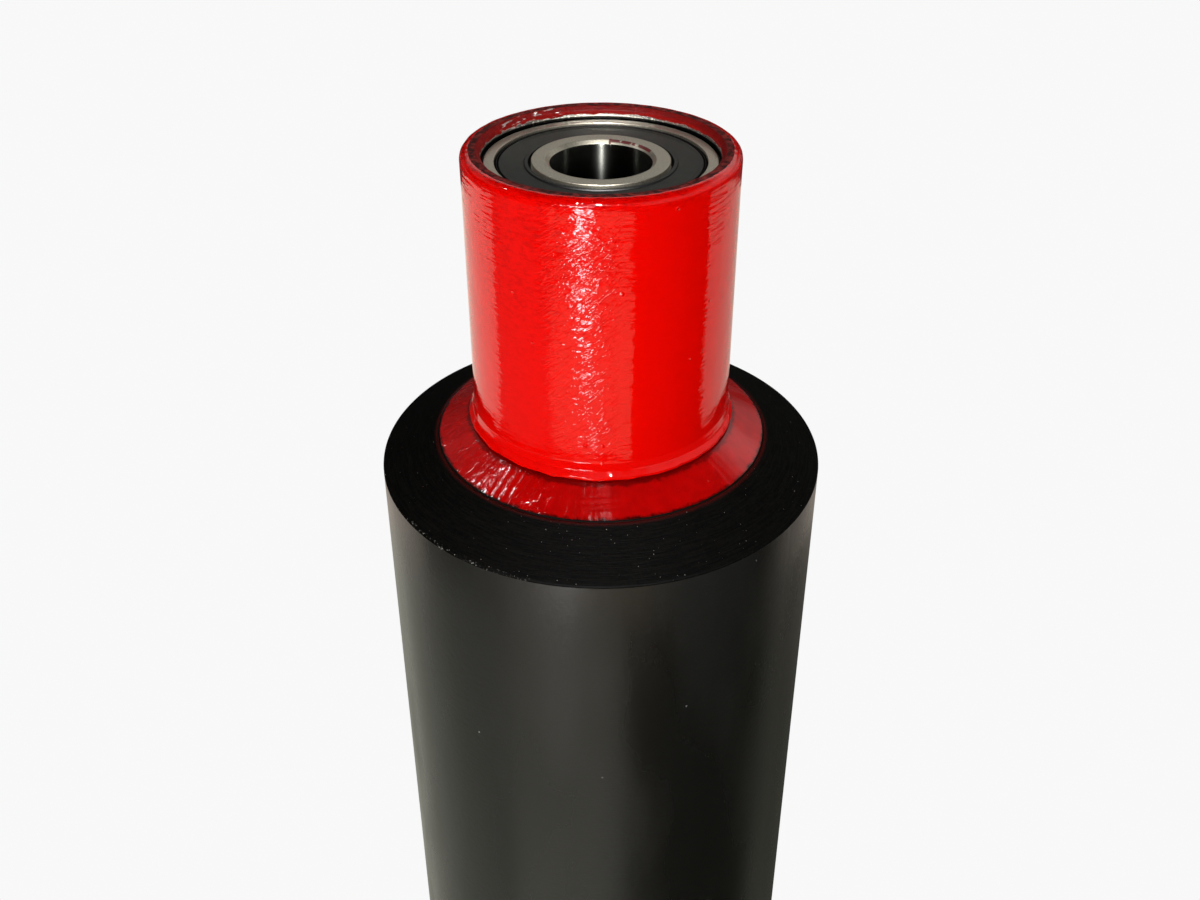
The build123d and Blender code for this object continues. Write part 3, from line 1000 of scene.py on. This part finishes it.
neck_corners = [
    (16.36, 5.0, 0.0, 0.40),
    (16.41, 1.2, 1.5, 0.10),
    (16.40, 0.02, 1.00, 0.10),
    (14.52, 0.02, 0.06, 0.08),
    (seat_radius, 0.50, 0.12, 0.12),
    (seat_radius, 1.80, 0.0, 3.0),
    (seat_radius, shoulder_depth, 0.0, 0.9),
    (passage_radius, shoulder_depth, 0.1, 9.0),
    (passage_radius, foot_depth + spigot_length, 0.3, 2.0),
    (spigot_radius, foot_depth + spigot_length, 0.5, 9.0),
    (spigot_radius, foot_depth, 0.0, 1.0),
    (16.55, foot_depth - 0.02, 0.0, 0.1),
    (16.98, foot_depth - 0.30, 0.18, 0.1),
    (17.02, foot_depth - 0.62, 0.20, 0.1),
    (16.50, foot_depth - 1.45, 0.7, 0.12),
    (16.30, foot_depth - 2.40, 0.9, 0.3),
    (16.30, foot_depth - 9.0, 0.0, 0.8),
]


def neck_relief(angle, radius, depth):
    """Hand-finished unevenness of the neck's outside, its rim and its lip."""
    outside = soft_step(radius, 15.7, 16.0) * soft_step(depth, 0.2, 1.0)
    body = outside * (1 - soft_step(depth, foot_depth - 3, foot_depth - 2))
    radius = radius + body * 0.005 * uneven(angle, depth, 2, 14, 0.12)
    radius = radius + body * 0.002 * uneven(angle, depth, 3, 50, 0.5)
    rim = (1 - soft_step(depth, 0.1, 1.5)) * soft_step(radius, 14.2, 14.5)
    radius = radius + rim * 0.02 * uneven(angle, depth, 4, 40, 0.1)
    flat = (1 - soft_step(depth, 0.02, 0.06)) * soft_step(radius, 14.4, 14.5)
    depth = depth + flat * 0.012 * (1.5 + uneven(angle, 4 * radius, 5, 90, 0.1))
    lip = soft_step(depth, foot_depth - 1.6, foot_depth - 0.6) * soft_step(radius, 16.4, 16.7)
    sag = uneven(angle, depth, 6, 36, 0.05)
    depth = depth - lip * 0.08 * (1.3 + np.clip(sag, -1.3, 2.0))
    radius = radius - lip * 0.03 * (1.2 + uneven(angle, depth, 7, 60, 0.1))
    return radius, np.maximum(depth, 0.0)


def neck_finish(radius, depth):
    """0 for the outside, 1 for the rim flat and the mouth, 2 for bare steel."""
    if radius < rim_flat_outer and depth < 0.2 or radius < 14.6 and depth < shoulder_depth:
        return 1
    return 2 if radius < 14.6 else 0


for end in ("upper", "lower"):
    sleeve = turn(
        end + "_neck", neck_corners, end, 400, [enamel_on_neck, enamel_in_mouth, steel_tube],
        neck_relief, neck_finish,
    )
    finish_piece(sleeve, "roller", "red_enamel", end + "_neck_sleeve")

# %% [markdown]
# The end plug's cone carries the same enamel, put on in strokes that run outward.
# They are modelled as shallow spokes that are high on one side and low on the other,
# under the finer ridges of the finish.

# %% End cones
plug_bore = 14.41
plug_reach = 17.99
plug_corners = lowered([
    (plug_bore, 0.0, 0.1, 0.9),
    (lip_radius - 0.2, 0.0, 0.3, 0.16),
    (core_radius, 2.5, 0.12, 0.7),
    (core_radius, 6.0, 0.1, 2.0),
    (plug_reach, 6.0, 0.1, 3.0),
    (plug_reach, 20.0, 0.6, 2.0),
    (plug_bore, 20.0, 0.2, 5.0),
], foot_depth)


def cone_relief(angle, radius, depth):
    """Spokes of paint on the cone, highest on the side that the camera sees left."""
    cone = 1 - soft_step(depth, foot_depth + 2.3, foot_depth + 2.5)
    cone = soft_step(radius, 16.9, 17.6) * cone
    compass = np.degrees(np.arctan2(np.cos(angle), -np.sin(angle)))
    away = np.abs((compass - wrinkled_side + 180) % 360 - 180)
    high_side = 0.25 + 0.75 * (1 - soft_step(away, wrinkled_half_width, wrinkled_half_width + 25))
    spokes = uneven(angle, radius, 8, 150, 0.12, 60)
    depth = depth + cone * high_side * 0.018 * spokes
    near_front = np.exp(-((compass + 1) / 6) ** 2) * soft_step(radius, 18, 18.6)
    waves = np.sin(2 * math.pi * (radius + 0.02 * compass) / 0.7)
    depth = depth + cone * near_front * (1 - soft_step(radius, 19.6, 20.2)) * 0.05 * waves
    return radius, np.maximum(depth, foot_depth)


def cone_finish(radius, depth):
    """1 for the corner that meets the rubber, which is painted black as shade, and 0 elsewhere."""
    return 1 if radius > core_radius - 0.13 and depth < foot_depth + 2.8 else 0


for end in ("upper", "lower"):
    cone = turn(
        end + "_painted_cone", plug_corners, end, 640, [enamel_on_cone, crevice_shade],
        cone_relief, cone_finish,
    )
    finish_piece(cone, "roller", "red_enamel", end + "_end_plug")

# %% [markdown]
# The rubber is cast round the core and ground after it has cured. Its ends slope
# like the plug's cone and its edges are barely broken.

# %% Rubber cover
cover_bore = core_radius + 0.02
cover_drop = 3.5
length = (roller_top - roller_foot) / MM
cover_corners = [
    (cover_bore, cone_depth, 0.0, 0.25),
    (cover_radius, cone_depth + cover_drop, 0.30, 8.0),
    (cover_radius, length - cone_depth - cover_drop, 0.30, 0.25),
    (cover_bore, length - cone_depth, 0.0, 40.0),
]


def cover_relief(angle, radius, depth):
    """Small wear on the two edges of the face."""
    middle = length / 2
    from_edge = np.abs(np.abs(depth - middle) - (middle - cone_depth - cover_drop))
    edge = (1 - soft_step(from_edge, 0.2, 0.7)) * soft_step(radius, cover_radius - 1, cover_radius)
    chips = np.clip(uneven(angle, depth, 9, 160, 0.1) - 1.2, 0, 1.5)
    return radius - edge * 0.03 * chips, depth


def cover_finish(radius, depth):
    """0 for the long face and the bore, 1 for the sloped ends."""
    inside = cone_depth + cover_drop + 0.15 < depth < length - cone_depth - cover_drop - 0.15
    return 0 if inside else 1


cover = turn(
    "rubber_sleeve", cover_corners, "upper", 600, [rubber_face, rubber_end], cover_relief,
    cover_finish,
)
finish_piece(cover, "roller", "black_rubber", "rubber_cover")

# %% [markdown]
# The sealed bearing is the one part bought in. Its rings are ground bright, with a
# chamfer at every corner and a step for each seal, and the tracks are true arcs.

# %% Bearing rings
outer_ring_corners = lowered([
    (14.0, 0.4, 0.05, 2.0),
    (14.0, 7.6, 0.05, 0.3),
    (13.62, 8.0, 0.05, 0.4),
    (12.45, 8.0, 0.08, 0.3),
    (12.45, 7.55, 0.0, 0.2),
    (12.75, 7.55, 0.0, 0.3),
    (12.75, 7.0, 0.0, 0.3),
    (11.6, 7.0, 0.1, 0.4),
    (11.6, 5.86, 0.1, 0.4),
    (12.43, 4.0, 1.6, 0.4),
    (11.6, 2.14, 0.1, 0.4),
    (11.6, 1.0, 0.1, 0.3),
    (12.75, 1.0, 0.0, 0.3),
    (12.75, 0.45, 0.0, 0.2),
    (12.45, 0.45, 0.0, 0.2),
    (12.45, 0.0, 0.06, 0.3),
    (13.62, 0.0, 0.05, 0.2),
], ring_depth)
inner_ring_corners = lowered([
    (6.0, 0.46, 0.1, 0.2),
    (6.46, 0.0, 0.1, 0.3),
    (8.15, 0.0, 0.1, 0.4),
    (8.15, 1.1, 0.0, 0.2),
    (8.4, 1.1, 0.05, 0.4),
    (8.4, 2.14, 0.1, 0.4),
    (7.57, 4.0, 1.6, 0.4),
    (8.4, 5.86, 0.1, 0.4),
    (8.4, 6.9, 0.05, 0.2),
    (8.15, 6.9, 0.0, 0.4),
    (8.15, 8.0, 0.1, 0.4),
    (6.46, 8.0, 0.1, 0.2),
    (6.0, 7.54, 0.1, 0.4),
], ring_depth)


def outer_ring_finish(radius, depth):
    """1 for the outer corners, painted near black as painted shade, and 0 elsewhere."""
    return 1 if radius > 13.63 else 0


def inner_ring_finish(radius, depth):
    """1 for the bore and 0 elsewhere."""
    return 1 if radius < 6.03 else 0


for end in ("upper", "lower"):
    outer = turn(
        end + "_bearing_outer_ring", outer_ring_corners, end, 240, [steel_face, steel_corner_shade],
        faces_of=outer_ring_finish,
    )
    finish_piece(outer, "roller", "ring_steel", end + "_outer_ring")
    inner = turn(
        end + "_bearing_inner_ring", inner_ring_corners, end, 200, [steel_splashed, steel_bore],
        faces_of=inner_ring_finish,
    )
    finish_piece(inner, end + "_inner_ring", "ring_steel", end + "_inner_ring")

# %% [markdown]
# Each seal is moulded rubber on a steel washer. Its bead snaps into the outer
# ring's groove, a narrow channel follows, the web is flat, and a raised lip slopes
# down to the inner ring without quite touching it.

# %% Seals
seal_corners = lowered([
    (12.72, 1.0, 0.0, 0.3),
    (12.72, 0.48, 0.0, 0.2),
    (12.42, 0.48, 0.0, 0.2),
    (12.42, 0.40, 0.03, 0.1),
    (12.30, 0.37, 0.03, 0.1),
    (12.28, 0.25, 0.03, 0.1),
    (12.14, 0.25, 0.03, 0.1),
    (12.12, 0.55, 0.03, 0.1),
    (11.95, 0.55, 0.03, 0.1),
    (11.92, 0.27, 0.05, 0.1),
    (11.40, 0.37, 0.3, 0.3),
    (9.02, 0.40, 0.06, 0.1),
    (8.92, 0.22, 0.06, 0.1),
    (8.52, 0.22, 0.10, 0.1),
    (8.21, 0.70, 0.05, 0.2),
    (8.21, 1.0, 0.1, 0.5),
], ring_depth)


def seal_finish(radius, depth):
    """1 for the bead, the channel and the slope of the lip, painted black as shade, and 0
    elsewhere.
    """
    return 1 if radius > 12.2 or 11.93 < radius < 12.13 or radius < 8.5 else 0


for end in ("upper", "lower"):
    seal = turn(
        end + "_front_seal_ring", seal_corners, end, 240, [seal_rubber, crevice_shade],
        faces_of=seal_finish,
    )
    finish_piece(seal, "roller", "seal_rubber", end + "_front_seal")

# %% Finishes for the pieces inside
inside_finishes = {
    "back_seal": seal_rubber,
    "front_cage_half": steel_sheet,
    "back_cage_half": steel_sheet,
    "cage_rivets": steel_sheet,
}
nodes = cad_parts
nodes["core_tube"].data.materials.clear()
nodes["core_tube"].data.materials.append(steel_tube)
for end in ("upper", "lower"):
    finishes = {f"{end}_{piece}": finish for piece, finish in inside_finishes.items()}
    finishes.update({n: steel_ball for n in nodes if n.startswith(end + "_ball_")})
    for node, finish in finishes.items():
        nodes[node].data.materials.clear()
        nodes[node].data.materials.append(finish)
    print(end, "inner pieces finished:", len(finishes))
